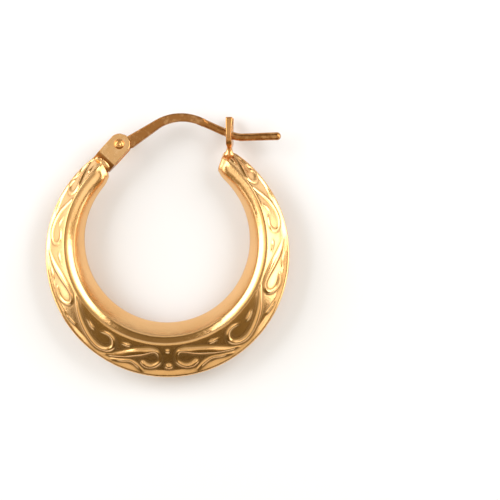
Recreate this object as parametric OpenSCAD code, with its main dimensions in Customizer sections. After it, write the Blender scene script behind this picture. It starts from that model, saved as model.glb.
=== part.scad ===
// Hinged creole hoop earring, lying on its side: the hoop's axis is +Z and its opening is towards +Y.
// The hoop is hollow. Two stamped halves meet at a thin outer rim and at an inner ridge.
// Millimetres. The origin is on the surface it lies on, straight under the middle of its outline.

/* [Hoop] */
// Outer diameter of the hoop, at its rim
hoop_d = 24; // [18:0.5:32]
// Depth of the hoop from crest to crest, at its lowest point
depth_low = 4.45; // [3.4:0.05:6]
// Depth of the hoop from crest to crest, at its two ends
depth_end = 2.2; // [1.8:0.05:3]
// How late the depth falls away towards the ends
depth_curve = 3.6; // [2:0.1:5]
// Width of the ornamented face at the lowest point, seen from the front
face_low = 3.3; // [2.6:0.05:4]
// Width that the ornamented face would have opposite the lowest point
face_high = 0.82; // [0.6:0.02:1.2]
// Width of the plain bevel inside the crest, at the lowest point
bevel_low = 0.7; // [0.4:0.05:1]
// Width that the bevel would have opposite the lowest point
bevel_high = 1.06; // [0.6:0.02:1.4]
// Width of the inner wall seen from the front, at the lowest point
lip_low = 1.5; // [1:0.05:2]
// Width that the inner wall would have opposite the lowest point
lip_high = 0.54; // [0.4:0.02:1]
// How far the bevel falls from the crest to its inner edge, at the lowest point
bevel_drop = 0.26; // [0.1:0.02:0.5]
// Thickness of the metal
wall = 0.24; // [0.2:0.02:0.34]
// Diameter of the vent hole in the inner wall
vent_d = 0.5; // [0.3:0.05:0.7]
// Angle from the lowest point to the vent hole, on the catch's side
vent_angle = 107; // [60:1:130]

/* [Ends] */
// Angle from the lowest point to the hinge end, at the rim
hinge_rim_angle = 147; // [138:0.5:152]
// Angle from the lowest point to the hinge end, at the inner ridge
hinge_ridge_angle = 142.6; // [136:0.2:150]
// Angle from the lowest point to the catch end, at the rim
catch_rim_angle = 151; // [144:0.5:154]
// Angle from the lowest point to the catch end, at the inner ridge
catch_ridge_angle = 148.4; // [142:0.2:152]
// Length over which an end closes to its nose
nose_len = 1.2; // [0.8:0.1:1.8]
// Width of the nose at its tip
nose_w = 0.7; // [0.4:0.05:1.2]
// How far the rim is cut back at the tip of the catch end
rim_nip = 0.5; // [0.2:0.05:0.8]
// How far the inner ridge is rounded off at the tips of both ends
ridge_nip = 0.5; // [0.2:0.05:0.7]

/* [Ornament] */
// Height of the scrolls above the face
relief_h = 0.2; // [0.12:0.01:0.26]
// Depth that a scroll is rooted in the metal
relief_root = 0.1; // [0.06:0.01:0.14]
// Width of a scroll's line where it is widest
scroll_w = 1; // [0.7:0.05:1.1]
// Height of the plain border along the rim
border_h = 0.1; // [0.04:0.01:0.14]
// How far the pattern sits off the middle at the lowest point, in degrees
shift_angle_low = 1.3; // [0:0.1:3]
// How far the pattern sits off the middle along the sides, in degrees
shift_angle_side = 3.5; // [0:0.1:4]

/* [Hinge] */
// Width of the hinge bracket, and of its round ears
bracket_w = 2.1; // [1.7:0.05:2.5]
// Distance from the bracket's seat on the hoop to the rivet
bracket_reach = 2.4; // [2.2:0.05:3.2]
// Distance from the rim to the middle of the bracket's seat
bracket_inset = 0.95; // [0.85:0.05:1.3]
// Depth that the bracket's base is let into the nose
bracket_root = 0.35; // [0.2:0.05:0.5]
// Angle by which the bracket leans outwards from the hoop's line
bracket_lean_angle = 13; // [0:1:20]
// Thickness of an ear of the bracket
ear_t = 0.3; // [0.25:0.01:0.4]
// Thickness of the bracket's base
base_t = 0.45; // [0.3:0.05:0.6]
// How far the base slopes in from the ears to its foot
shoulder_drop = 0.32; // [0.1:0.02:0.4]
// How far the base reaches in between the ears
base_into_ears = 0.15; // [0.1:0.05:0.3]
// Diameter of the rivet's shank
rivet_d = 0.7; // [0.5:0.05:0.8]
// Diameter of the rivet's domed heads
rivet_head_d = 1; // [0.86:0.02:1.3]
// Height of a rivet head
rivet_head_h = 0.24; // [0.12:0.01:0.3]
// Radius of the small dimple in a rivet head
dimple_r = 0.18; // [0.08:0.01:0.2]
// Radial play of the ear wire on the rivet
pivot_play = 0.04; // [0.02:0.01:0.08]
// Play of the rivet in the ears
rivet_play = 0.02; // [0.01:0.01:0.04]
// Play of the ear wire beside each ear
side_play = 0.05; // [0.03:0.01:0.1]

/* [Ear wire] */
// Diameter of the round part of the ear wire
wire_d = 0.75; // [0.6:0.05:0.9]
// Thickness of the flattened part
bar_t = 0.9; // [0.7:0.05:1.1]
// Height of the flattened part beside the hinge
bar_h_hinge = 1.25; // [1:0.05:1.4]
// Height of the flattened part at the top of the arch
bar_h_arch = 0.9; // [0.7:0.05:1.1]
// Height of the flattened part where it ends
bar_h_end = 0.8; // [0.7:0.05:1]
// Distance that the flattened part's line passes below the rivet
bar_drop = 0.36; // [0.1:0.02:0.4]
// Diameter of the eye around the rivet
eye_d = 1.8; // [1.6:0.05:1.9]
// Angle at which the wire rises from the hinge
wire_rise_angle = 33; // [28:0.5:38]
// Angle at which the wire falls to the catch
wire_fall_angle = 24; // [18:0.5:28]
// Distance from the end of the arch to the end of the flattened part
bar_past = 0.3; // [0.1:0.05:0.6]
// Bend radius at the top of the arch
arch_r = 4.6; // [3:0.1:5.4]
// Distance from the catch to the bend of the tail
bend_past = 0.75; // [0.6:0.05:1.2]
// Bend radius of the tail
bend_r = 3; // [2:0.1:3.4]
// Angle at which the tail rises
tail_angle = 1.7; // [0:0.1:6]
// Length of the tail beyond its bend
tail_len = 4.35; // [3:0.05:6]

/* [Catch] */
// Thickness of the catch plate
catch_t = 0.55; // [0.4:0.05:0.7]
// Width of the catch plate
catch_w = 3.16; // [2.6:0.02:3.6]
// Height of the wire above the corner of the catch end
wire_over_end = 1.82; // [1.6:0.02:2.2]
// Metal under the notch
under_notch = 0.9; // [0.6:0.05:1]
// Height of the two prongs above the wire's middle line
prong_h = 1.66; // [1.2:0.02:2]
// Width of a prong at its tip
prong_tip = 0.34; // [0.25:0.01:0.5]
// Play of the wire in the notch
notch_play = 0.08; // [0.05:0.01:0.15]
// Width of the neck that joins the catch to the hoop
neck_w = 1; // [0.8:0.05:1.4]
// Depth that the neck is let into the nose
neck_root = 0.6; // [0.4:0.05:0.8]
// Distance from the corner of the catch end to the middle of the catch plate
catch_back = 0.5; // [0.35:0.05:0.6]

/* [Hidden] */
$fn = 48;

hoop_r = hoop_d / 2;
HINGE = -1;
CATCH = 1;
STATIONS = 60;
CAVITY_STATIONS = 36;
NOSE_STEPS = 6;
ARCH_STEPS = 12;

// Across the face to the crest: share of the width, lift as a share of the border's height
FACE_ROWS = [
    [0.02, 0.50],
    [0.07, 1.00],
    [0.16, 0.95],
    [0.22, 0.15],
    [0.42, 0.40],
    [0.64, 0.50],
    [0.86, 0.30]
];

// Down the inner wall to the ridge: share of the width, lift as a share of the border's height
LIP_ROWS = [
    [0.35, 0.60],
    [0.70, 0.50]
];

// A scroll's line from its tail to its curled end, in hundredths.
// Columns: along the band from the lowest point to the end, across the face from rim to crest, line width.
SCROLL_A = [
    [24.3, 18, 10], [21.6, 27, 40], [19.4, 38, 64], [16.8, 50, 84], [13.6, 62, 94], [10.4, 71, 88],
    [7.2, 79, 66], [4.7, 78, 44], [3.4, 67, 32], [3.1, 52, 32], [4.0, 41, 46], [6.0, 32, 62],
    [8.0, 32, 72], [9.3, 37, 64]
];
SCROLL_B = [
    [46.8, 89, 12], [44.3, 79, 36], [41.3, 66, 48], [38.0, 53, 56], [34.8, 42, 60], [31.4, 32, 62],
    [28.4, 27, 62], [26.0, 28, 60], [24.0, 35, 56], [22.8, 48, 50], [22.9, 62, 44], [24.1, 75, 40],
    [26.1, 81, 32], [28.2, 79, 24], [29.9, 73, 12]
];
SCROLL_C = [
    [64.3, 21, 12], [62.0, 33, 42], [59.3, 48, 62], [56.6, 62, 70], [53.8, 72, 64], [50.8, 79, 52],
    [47.9, 78, 42], [46.0, 68, 38], [45.3, 53, 38], [46.1, 38, 42], [48.0, 29, 46], [50.1, 28, 44],
    [52.0, 33, 30]
];
SCROLL_D = [
    [84.2, 88, 12], [82.6, 79, 26], [80.6, 65, 36], [78.3, 50, 42], [75.6, 37, 46], [72.8, 29, 42],
    [70.3, 27, 36], [68.3, 33, 30], [67.2, 45, 28], [67.1, 59, 28], [67.9, 73, 30], [69.5, 81, 30],
    [71.2, 80, 26], [72.6, 74, 16]
];
SCROLL_E = [
    [96.0, 18, 10], [94.6, 31, 26], [92.9, 48, 36], [91.1, 65, 40], [89.3, 78, 36], [87.4, 82, 30],
    [85.9, 73, 26], [85.1, 58, 26], [85.2, 42, 28], [86.1, 28, 30], [87.5, 21, 30], [88.9, 24, 22]
];
SCROLLS = [SCROLL_A, SCROLL_B, SCROLL_C, SCROLL_D, SCROLL_E];

// Small drops and leaves between the scrolls, with the same three columns
DROPS = [
    [[9.4, 13, 24], [11.2, 22, 34], [13.2, 33, 40], [15.6, 37, 40], [18.0, 31, 34], [21.0, 20, 20]],
    [[16.0, 75, 20], [17.0, 77, 36], [18.4, 77, 28], [21.2, 76, 8]],
    [[32.6, 65, 22], [33.6, 67, 36], [34.9, 70, 30], [37.2, 77, 8]],
    [[38.0, 25, 18], [39.2, 24, 30], [40.8, 22, 24], [43.4, 20, 8]],
    [[59.6, 79, 8], [61.4, 76, 26], [62.8, 74, 36], [63.8, 73, 20]],
    [[54.2, 25, 10], [55.6, 28, 30], [57.4, 27, 30], [59.2, 23, 8]],
    [[73.6, 61, 16], [74.5, 64, 28], [75.6, 68, 22], [77.0, 76, 8]],
    [[77.2, 20, 16], [78.2, 20, 26], [79.4, 19, 20], [81.0, 17, 8]],
    [[90.0, 16, 14], [90.9, 16, 24], [91.9, 15, 18], [93.0, 14, 8]],
    [[94.6, 72, 16], [95.3, 68, 26], [96.0, 63, 20], [96.8, 55, 8]]
];

// The two round drops at the lowest point
MIDDLE_DROPS = [
    [[0, 81, 34], [0, 76, 34]],
    [[0, 33, 76], [0, 38, 76]]
];

// Distance from the hoop's middle line to a circle that lies low and high inside the rim
function ring_r(a, low, high) =
    let (r = hoop_r - (low + high) / 2, rise = (low - high) / 2)
    sqrt(r * r - pow(rise * sin(a), 2)) - rise * cos(a);

function mix(a, b, t) = a + (b - a) * t;
function end_rim(side) = side == HINGE ? hinge_rim_angle : catch_rim_angle;
function end_ridge(side) = side == HINGE ? hinge_ridge_angle : catch_ridge_angle;
function rim_cut(side) = side == HINGE ? 0 : rim_nip;

// u runs from -1 at the hinge end through 0 at the lowest point to 1 at the catch end
function side_of(u) = u < 0 ? HINGE : CATCH;
function end_angle(u) = (end_rim(side_of(u)) + end_ridge(side_of(u))) / 2;
function half_length(side) = hoop_r * (end_rim(side) + end_ridge(side)) / 2 * PI / 180;

// How far into the nose a place lies, from 0 where it starts to 1 at its tip
function nose_t(u) = max(0, 1 - (1 - abs(u)) * half_length(side_of(u)) / nose_len);
function nose_round(u) = 1 - sqrt(1 - 0.98 * pow(nose_t(u), 2));
function nose_scale(u) = 1 - (1 - nose_w / depth_end) * nose_round(u);

function half_depth(u) =
    (depth_low - (depth_low - depth_end) * pow(abs(u), depth_curve)) / 2 * nose_scale(u);
function rim_at(u) = hoop_r - rim_cut(side_of(u)) * pow(nose_t(u), 2);
function crest_at(u) = ring_r(end_angle(u) * u, face_low, face_high);
function bevel_at(u) = ring_r(end_angle(u) * u, face_low + bevel_low, face_high + bevel_high);
function ridge_at(u) =
    ring_r(end_angle(u) * u, face_low + bevel_low + lip_low, face_high + bevel_high + lip_high);

// A point at radius r and height z of the section at u: the ends are cut aslant from rim to ridge
function place(u, r, z) =
    let (share = (hoop_r - r) / (hoop_r - ridge_at(u)))
    let (a = u * mix(end_rim(side_of(u)), end_ridge(side_of(u)), share))
    [r * sin(a), -r * cos(a), z];

// A point a share of the way along the line p to q, lifted off the metal square to that line
function lifted(p, q, share, lift) =
    let (d = q - p)
    mix(p, q, share) + lift / norm(d) * [d[1], -d[0]];

function rim_point(u) = [rim_at(u), 0];
function crest_point(u) = [crest_at(u), half_depth(u)];
function bevel_point(u) = [bevel_at(u), half_depth(u) * (1 - 2 * bevel_drop / depth_low)];
function ridge_point(u) = [ridge_at(u) + ridge_nip * nose_round(u), 0];

// Upper half of the section at u, from the rim to the inner ridge, as radius and height
function half_section(u) =
    concat(
        [rim_point(u)],
        [for (row = FACE_ROWS) lifted(rim_point(u), crest_point(u), row[0], row[1] * border_h)],
        [crest_point(u), bevel_point(u)],
        [for (row = LIP_ROWS) lifted(bevel_point(u), ridge_point(u), row[0], row[1] * border_h)],
        [ridge_point(u)]
    );

// Upper half of the cavity's section: each corner lies where the walls' inner faces meet
function half_cavity(u) =
    let (face = crest_point(u) - rim_point(u), slope = atan2(face[1], -face[0]))
    let (lip = bevel_point(u) - ridge_point(u), lean = atan2(lip[0], lip[1]))
    [
        rim_point(u) - [wall / sin(slope), 0],
        crest_point(u) - wall * [-tan(slope / 2), 1],
        bevel_point(u) + wall * [tan(45 + lean / 2) / 2, -1],
        ridge_point(u) + [wall / cos(lean), 0]
    ];

// The whole ring of points at u: the upper half, then the lower half back towards the rim
function whole_section(u, half) =
    let (last = len(half) - 1)
    concat(
        [for (p = half) place(u, p[0], p[1])],
        [for (i = [last - 1:-1:1]) place(u, half[i][0], -half[i][1])]
    );

// An end cap in strips from the upper half to the lower one, so that each strip is flat
function strip_cap(start, n) =
    let (half = n / 2)
    [
        for (i = [0:half - 1])
        let (upper = start + i, upper_next = start + i + 1)
        let (lower_next = start + n - i - 1, lower = start + (n - i) % n)
        each i == 0 ? [[upper, upper_next, lower_next]]
            : i == half - 1 ? [[upper, upper_next, lower]]
            : [[upper, upper_next, lower_next], [upper, lower_next, lower]]
    ];
function fan_cap(start, n) = [for (i = [1:n - 2]) [start, start + i, start + i + 1]];
function turned(faces) = [for (f = faces) [f[0], f[2], f[1]]];

// A closed skin through rings of points, each ring clockwise as seen from the last one's end
module skin(rings, strips = false) {
    n = len(rings[0]);
    last = len(rings) - 1;
    sides = [
        for (k = [0:last - 1], i = [0:n - 1])
        let (j = (i + 1) % n)
        each [
            [k * n + i, k * n + j, (k + 1) * n + j],
            [k * n + i, (k + 1) * n + j, (k + 1) * n + i]
        ]
    ];
    first_cap = turned(strips ? strip_cap(0, n) : fan_cap(0, n));
    last_cap = strips ? strip_cap(last * n, n) : fan_cap(last * n, n);
    faces = concat(sides, first_cap, last_cap);
    polyhedron(points = [for (r = rings) each r], faces = faces, convexity = 10);
}

// Places along the hoop: even steps, closer together in the noses
function nose_share(side) = nose_len / half_length(side);
function stations(count, from, to) = [for (i = [0:count]) mix(from, to, i / count)];
function hoop_stations() =
    let (from = -1 + nose_share(HINGE), to = 1 - nose_share(CATCH))
    concat(
        [for (i = [0:NOSE_STEPS - 1]) mix(-1, from, i / NOSE_STEPS)],
        stations(STATIONS, from, to),
        [for (i = [1:NOSE_STEPS]) mix(to, 1, i / NOSE_STEPS)]
    );

module hoop_outside() skin([for (u = hoop_stations()) whole_section(u, half_section(u))], strips = true);

module hoop_cavity() {
    from = -1 + nose_share(HINGE) + wall / half_length(HINGE);
    to = 1 - nose_share(CATCH) - wall / half_length(CATCH);
    skin([for (u = stations(CAVITY_STATIONS, from, to)) whole_section(u, half_cavity(u))], strips = true);
}

// The vent lets air out of the hollow hoop: it goes through the inner wall only
module vent() {
    u = vent_angle / end_angle(CATCH);
    a = u * end_angle(CATCH);
    low = ridge_at(u) - wall;
    rotate([0, 0, a - 90])
        translate([low, 0, -half_depth(u) / 2])
            rotate([0, 90, 0]) cylinder(h = bevel_at(u) + wall - low, d = vent_d);
}

// The pattern
function smooth(t) = let (c = min(1, max(0, t))) c * c * (3 - 2 * c);
function pattern_shift(t) = mix(shift_angle_low, shift_angle_side, smooth((t - 0.03) / 0.23));
function pattern_angle(side, t) =
    side * t * (end_angle(HINGE) + end_angle(CATCH)) / 2 + pattern_shift(t);
function pattern_u(side, t) = let (a = pattern_angle(side, t)) a / end_angle(a);

// A point of the face at shares t along and s across, at a height above the metal
function on_face(side, face, t, s, height) =
    let (u = pattern_u(side, t))
    let (p = lifted(rim_point(u), crest_point(u), s, lookup(s, FACE_ROWS) * border_h + height))
    place(u, p[0], face * p[1]);

// Millimetres in a whole share along and a whole share across, at shares t and s
function share_mm(side, t, s) =
    let (u = pattern_u(side, t))
    [
        mix(rim_at(u), crest_at(u), s) * (end_angle(HINGE) + end_angle(CATCH)) / 2 * PI / 180,
        norm(crest_point(u) - rim_point(u))
    ];

// One cross-section of a raised line: a low ridge with sloping flanks, rooted in the metal
function line_ring(side, face, rows, k) =
    let (here = rows[k] / 100)
    let (before = rows[max(0, k - 1)] / 100, after = rows[min(len(rows) - 1, k + 1)] / 100)
    let (mm = share_mm(side, here[0], here[1]))
    let (go = [(after[0] - before[0]) * mm[0], (after[1] - before[1]) * mm[1]])
    let (left = [-go[1] / mm[0], go[0] / mm[1]] / norm(go))
    let (half_w = here[2] * scroll_w / 2, height = relief_h * sqrt(here[2]))
    let (ring = [
        for (row = [[-1, -relief_root], [-0.5, height], [0.5, height], [1, -relief_root]])
        let (t = here[0] + row[0] * half_w * left[0], s = here[1] + row[0] * half_w * left[1])
        on_face(side, face, t, s, row[1])
    ])
    side * face > 0 ? ring : [ring[3], ring[2], ring[1], ring[0]];

module raised_line(side, face, rows) skin([for (k = [0:len(rows) - 1]) line_ring(side, face, rows, k)]);

module ornament() {
    for (face = [-1, 1]) {
        for (side = [HINGE, CATCH], rows = concat(SCROLLS, DROPS)) raised_line(side, face, rows);
        for (rows = MIDDLE_DROPS) raised_line(CATCH, face, rows);
    }
}

// Places of the hinge, the catch and the wire between them, in the hoop's own plane
function flat(p) = [p[0], p[1]];
function way(a) = [cos(a), sin(a)];
function crossed(a, b) = a[0] * b[1] - a[1] * b[0];
seat = flat(place(HINGE, hoop_r - bracket_inset, 0));
bracket_way = atan2(seat[1], seat[0]) - 90 + bracket_lean_angle;
pivot = seat + bracket_reach * way(bracket_way);
catch_corner = flat(place(CATCH, rim_at(CATCH), 0));
notch = catch_corner + [catch_back, wire_over_end];
wire_foot = pivot + bar_drop * way(wire_rise_angle - 90);
rising = way(wire_rise_angle);
falling = way(-wire_fall_angle);
arch_corner = wire_foot + rising * crossed(notch - wire_foot, falling) / crossed(rising, falling);
arch_cut = arch_r * tan((wire_rise_angle + wire_fall_angle) / 2);
arch_start = arch_corner - arch_cut * rising;
arch_end = arch_corner + arch_cut * falling;
arch_centre = arch_start + arch_r * way(wire_rise_angle - 90);
bend_turn = wire_fall_angle + tail_angle;
bend_corner = notch + bend_past * falling;
bend_cut = bend_r * tan(bend_turn / 2);
bend_start = bend_corner - bend_cut * falling;
bend_centre = bend_start + bend_r * way(90 - wire_fall_angle);
tail_tip = bend_corner + tail_len * way(tail_angle);
bracket_depth = bar_t + 2 * side_play + 2 * ear_t;

// The whole earring is moved so that its origin is under the middle of its outline
prong_top = notch[1] + prong_h;
arch_top = arch_centre[1] + arch_r + bar_h_arch / 2;
middle = [(max(hoop_r, tail_tip[0]) - hoop_r) / 2, (max(prong_top, arch_top) - hoop_r) / 2];
module lie_down() translate([-middle[0], -middle[1], depth_low / 2]) children();

module slab(thickness) translate([0, 0, -thickness / 2]) linear_extrude(thickness) children();

// The base is drawn from the side: sloping shoulders run from its foot out to the ears
module bracket_base() {
    top = bracket_depth / 2;
    foot = top - shoulder_drop;
    rotate([90, 0, 0]) slab(bracket_w) polygon([
        [-bracket_root, foot], [0, foot], [base_t, top], [base_t + base_into_ears, top],
        [base_t + base_into_ears, -top], [base_t, -top], [0, -foot], [-bracket_root, -foot]
    ]);
}

module ear() {
    slab(ear_t) {
        translate([base_t, -bracket_w / 2]) square([bracket_reach - base_t, bracket_w]);
        translate([bracket_reach, 0]) circle(d = bracket_w);
    }
}

module bracket() {
    translate([seat[0], seat[1], 0]) rotate([0, 0, bracket_way]) {
        bracket_base();
        for (face = [-1, 1]) translate([0, 0, face * (bracket_depth - ear_t) / 2]) ear();
    }
}

module rivet_hole() {
    translate([pivot[0], pivot[1], -bracket_depth])
        cylinder(h = 2 * bracket_depth, d = rivet_d + 2 * rivet_play);
}

// The catch plate stands across the wire: it is drawn with its height along X and the hoop's axis along Y
wire_half = wire_d / 2 / cos(wire_fall_angle);
notch_bottom = notch[1] - wire_half - catch_t / 2 * tan(wire_fall_angle) - notch_play;
notch_r = wire_d / 2 + notch_play;
plate_bottom = notch_bottom - under_notch;

module catch_outline() {
    difference() {
        union() {
            translate([plate_bottom + catch_w / 2, 0]) circle(d = catch_w);
            translate([plate_bottom + catch_w / 2, -catch_w / 2])
                square([prong_top - plate_bottom - catch_w / 2, catch_w]);
        }
        translate([notch_bottom + notch_r, 0]) circle(r = notch_r);
        polygon([
            [notch_bottom + notch_r, -notch_r],
            [prong_top, prong_tip - catch_w / 2],
            [prong_top + notch_r, prong_tip - catch_w / 2],
            [prong_top + notch_r, catch_w / 2 - prong_tip],
            [prong_top, catch_w / 2 - prong_tip],
            [notch_bottom + notch_r, notch_r]
        ]);
    }
}

module catch_plate() {
    translate([notch[0] - catch_t / 2, 0, 0]) rotate([90, 0, 90]) linear_extrude(catch_t) {
        catch_outline();
        translate([catch_corner[1] - neck_root, -neck_w / 2])
            square([plate_bottom + under_notch / 2 - catch_corner[1] + neck_root, neck_w]);
    }
}

// The two halves, the bracket and the catch are soldered into one piece
module hoop() {
    color("goldenrod") lie_down() difference() {
        union() {
            hoop_outside();
            ornament();
            bracket();
            catch_plate();
        }
        hoop_cavity();
        vent();
        rivet_hole();
    }
}

// Upper and lower edge of the flattened bar, at a point and direction of its middle line
function bar_edge(p, a, height) = p + height / 2 * way(a + 90);
bar_rows = concat(
    [[wire_foot, wire_rise_angle, bar_h_hinge]],
    [for (i = [0:ARCH_STEPS])
        let (a = mix(wire_rise_angle, -wire_fall_angle, i / ARCH_STEPS))
        [arch_centre + arch_r * way(a + 90), a, bar_h_arch]],
    [[arch_end + bar_past * falling, -wire_fall_angle, bar_h_end]]
);

module flat_bar() {
    last = len(bar_rows) - 1;
    slab(bar_t) polygon(concat(
        [for (row = bar_rows) bar_edge(row[0], row[1], row[2])],
        [for (i = [last:-1:0]) bar_edge(bar_rows[i][0], bar_rows[i][1], -bar_rows[i][2])]
    ));
}

// The round wire is drawn around the centre of its bend, so that the three lengths meet exactly
module round_wire() {
    lead = norm(bend_start - arch_end);
    tail = tail_len - bend_cut - wire_d / 2;
    translate([bend_centre[0], bend_centre[1], 0]) rotate([0, 0, -90 - wire_fall_angle]) {
        rotate_extrude(angle = bend_turn) translate([bend_r, 0]) circle(d = wire_d);
        translate([bend_r, 0, 0]) rotate([90, 0, 0]) cylinder(h = lead, d = wire_d);
        rotate([0, 0, bend_turn]) translate([bend_r, 0, 0]) rotate([-90, 0, 0]) {
            cylinder(h = tail, d = wire_d);
            translate([0, 0, tail]) sphere(d = wire_d);
        }
    }
}

module ear_wire() {
    color("peru") lie_down() difference() {
        union() {
            translate([pivot[0], pivot[1], 0]) slab(bar_t) circle(d = eye_d);
            flat_bar();
            round_wire();
        }
        translate([pivot[0], pivot[1], -bar_t])
            cylinder(h = 2 * bar_t, d = rivet_d + 2 * pivot_play);
    }
}

// A domed head with a small dimple, standing on the plane z = 0
module rivet_head() {
    ball_r = (pow(rivet_head_d / 2, 2) + pow(rivet_head_h, 2)) / (2 * rivet_head_h);
    difference() {
        intersection() {
            translate([0, 0, rivet_head_h - ball_r]) sphere(r = ball_r);
            cylinder(h = rivet_head_h, d = rivet_head_d);
        }
        translate([0, 0, rivet_head_h + dimple_r / 2]) sphere(r = dimple_r);
    }
}

module hinge_rivet() {
    head_z = bracket_depth / 2 + rivet_play;
    color("goldenrod") lie_down() translate([pivot[0], pivot[1], 0]) {
        translate([0, 0, -head_z]) cylinder(h = 2 * head_z, d = rivet_d);
        translate([0, 0, head_z]) rivet_head();
        translate([0, 0, -head_z]) mirror([0, 0, 1]) rivet_head();
    }
}

hoop();
ear_wire();
hinge_rivet();
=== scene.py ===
# %% [markdown]
# # A hinged creole hoop, lying on its side
# The earring is thin polished gold: a hollow hoop of two stamped halves with raised scrolls, a bracket
# with a rivet, a swinging ear wire and a forked catch.
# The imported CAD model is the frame. Every visible piece here is placed from it and rides on one of its
# bodies, so that the ear wire still swings.

# %% Load the frame
import math

import bmesh
import bpy
import numpy as np
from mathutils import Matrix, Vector


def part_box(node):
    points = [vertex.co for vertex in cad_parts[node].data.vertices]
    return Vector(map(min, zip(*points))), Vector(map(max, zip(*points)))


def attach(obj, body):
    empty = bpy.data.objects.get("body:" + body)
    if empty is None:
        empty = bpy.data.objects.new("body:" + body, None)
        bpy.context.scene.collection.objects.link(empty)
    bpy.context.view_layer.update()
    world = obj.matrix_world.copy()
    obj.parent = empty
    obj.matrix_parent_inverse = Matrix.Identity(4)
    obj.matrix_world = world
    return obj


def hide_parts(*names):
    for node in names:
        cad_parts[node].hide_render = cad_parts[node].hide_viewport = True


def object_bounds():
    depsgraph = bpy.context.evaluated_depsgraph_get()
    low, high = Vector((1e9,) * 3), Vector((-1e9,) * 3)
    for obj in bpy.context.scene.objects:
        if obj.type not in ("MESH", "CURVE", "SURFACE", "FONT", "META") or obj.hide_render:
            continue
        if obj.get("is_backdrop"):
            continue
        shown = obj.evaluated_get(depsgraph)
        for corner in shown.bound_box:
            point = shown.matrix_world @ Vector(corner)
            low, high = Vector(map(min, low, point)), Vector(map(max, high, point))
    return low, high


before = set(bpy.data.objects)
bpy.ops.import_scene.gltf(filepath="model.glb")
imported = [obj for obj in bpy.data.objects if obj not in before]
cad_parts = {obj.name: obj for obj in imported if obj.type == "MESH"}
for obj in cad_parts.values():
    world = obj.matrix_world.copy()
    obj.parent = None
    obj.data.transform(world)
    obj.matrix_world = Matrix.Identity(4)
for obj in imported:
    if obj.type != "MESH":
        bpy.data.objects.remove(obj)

cad_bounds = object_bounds()

# %% [markdown]
# ## Places taken from the frame
# The hoop's own middle is the best origin for everything round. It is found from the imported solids: the
# hoop's left edge gives its radius, its lowest edge gives the middle, and the rivet gives the pivot.
# Lengths below are in millimetres from that middle; `framed` turns them into the frame's metres.

# %% Middle of the hoop, pivot and units
MM = 0.001
hoop_low, hoop_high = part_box("hoop")
rivet_low, rivet_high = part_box("hinge_rivet")
HOOP_R = -hoop_low.x / MM
MIDDLE = np.array([0.0, hoop_low.y / MM + HOOP_R, (hoop_low.z + hoop_high.z) / 2 / MM])
DEPTH_LOW = (hoop_high.z - hoop_low.z) / MM
PIVOT = (np.array((rivet_low + rivet_high) / 2) / MM - MIDDLE)[:2]


def framed(points):
    """Millimetres from the hoop's middle, as metres in the shared frame."""
    return (np.asarray(points, float) + MIDDLE) * MM


def way(degrees):
    """The direction at an angle, in the hoop's plane."""
    return np.array([math.cos(math.radians(degrees)), math.sin(math.radians(degrees))])


def mix(a, b, t):
    return a + (b - a) * t


def smooth(t):
    t = np.clip(t, 0, 1)
    return t * t * (3 - 2 * t)


print("radius %.2f mm, depth %.2f mm, pivot" % (HOOP_R, DEPTH_LOW), PIVOT.round(2))

# %% [markdown]
# ## The section of the hoop
# Seen from the front, the hoop is a crescent: the crest, the edge of the bevel and the inner ridge are
# circles that lie off the middle, so every part of the section is wide at the lowest point and narrow at
# the ends. `u` runs from -1 at the hinge end through 0 at the lowest point to 1 at the catch end.

# %% Widths, ends and radii along the hoop
DEPTH_END, DEPTH_CURVE = 2.2, 3.6
FACE_LOW, FACE_HIGH = 3.3, 0.82
BEVEL_LOW, BEVEL_HIGH, BEVEL_DROP = 0.7, 1.06, 0.26
LIP_LOW, LIP_HIGH = 1.5, 0.54
END_RIM = {-1: 147.0, 1: 151.0}
END_RIDGE = {-1: 142.6, 1: 148.4}
RIM_NIP = {-1: 0.0, 1: 0.5}
RIDGE_NIP = 0.5
NOSE_LEN, NOSE_W, NOSE_BLUNT = 1.2, 0.7, 0.98
BORDER_H = 0.2


def by_side(u, table):
    return np.where(np.asarray(u) < 0, table[-1], table[1])


def end_angle(u):
    return (by_side(u, END_RIM) + by_side(u, END_RIDGE)) / 2


def ring_r(u, low, high):
    """Distance to a circle that lies low and high inside the rim."""
    a = np.radians(end_angle(u) * u)
    r, rise = HOOP_R - (low + high) / 2, (low - high) / 2
    return np.sqrt(r * r - (rise * np.sin(a)) ** 2) - rise * np.cos(a)


def nose_t(u):
    half_length = HOOP_R * np.radians(end_angle(u))
    return np.clip(1 - (1 - np.abs(u)) * half_length / NOSE_LEN, 0, 1)


def nose_round(u):
    """From 0 where a nose starts to 1 at its tip, as a quarter of a circle falls."""
    return 1 - np.sqrt(1 - NOSE_BLUNT * nose_t(u) ** 2)


def half_depth(u):
    shrink = 1 - (1 - NOSE_W / DEPTH_END) * nose_round(u)
    return (DEPTH_LOW - (DEPTH_LOW - DEPTH_END) * np.abs(u) ** DEPTH_CURVE) / 2 * shrink


def rim_r(u):
    return HOOP_R - by_side(u, RIM_NIP) * nose_t(u) ** 2


def crest_r(u):
    return ring_r(u, FACE_LOW, FACE_HIGH)


def bevel_r(u):
    return ring_r(u, FACE_LOW + BEVEL_LOW, FACE_HIGH + BEVEL_HIGH)


def ridge_r(u):
    return ring_r(u, FACE_LOW + BEVEL_LOW + LIP_LOW, FACE_HIGH + BEVEL_HIGH + LIP_HIGH)


def inner_r(u):
    """The ridge, with the corner at each end rounded off."""
    return ridge_r(u) + RIDGE_NIP * nose_round(u)


def place(u, r, z):
    """The point at radius r and height z of the section at u; the ends are cut aslant."""
    share = (HOOP_R - r) / (HOOP_R - ridge_r(u))
    a = np.radians(u * mix(by_side(u, END_RIM), by_side(u, END_RIDGE), share))
    return np.stack(np.broadcast_arrays(r * np.sin(a), -r * np.cos(a), z), axis=-1)


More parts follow.
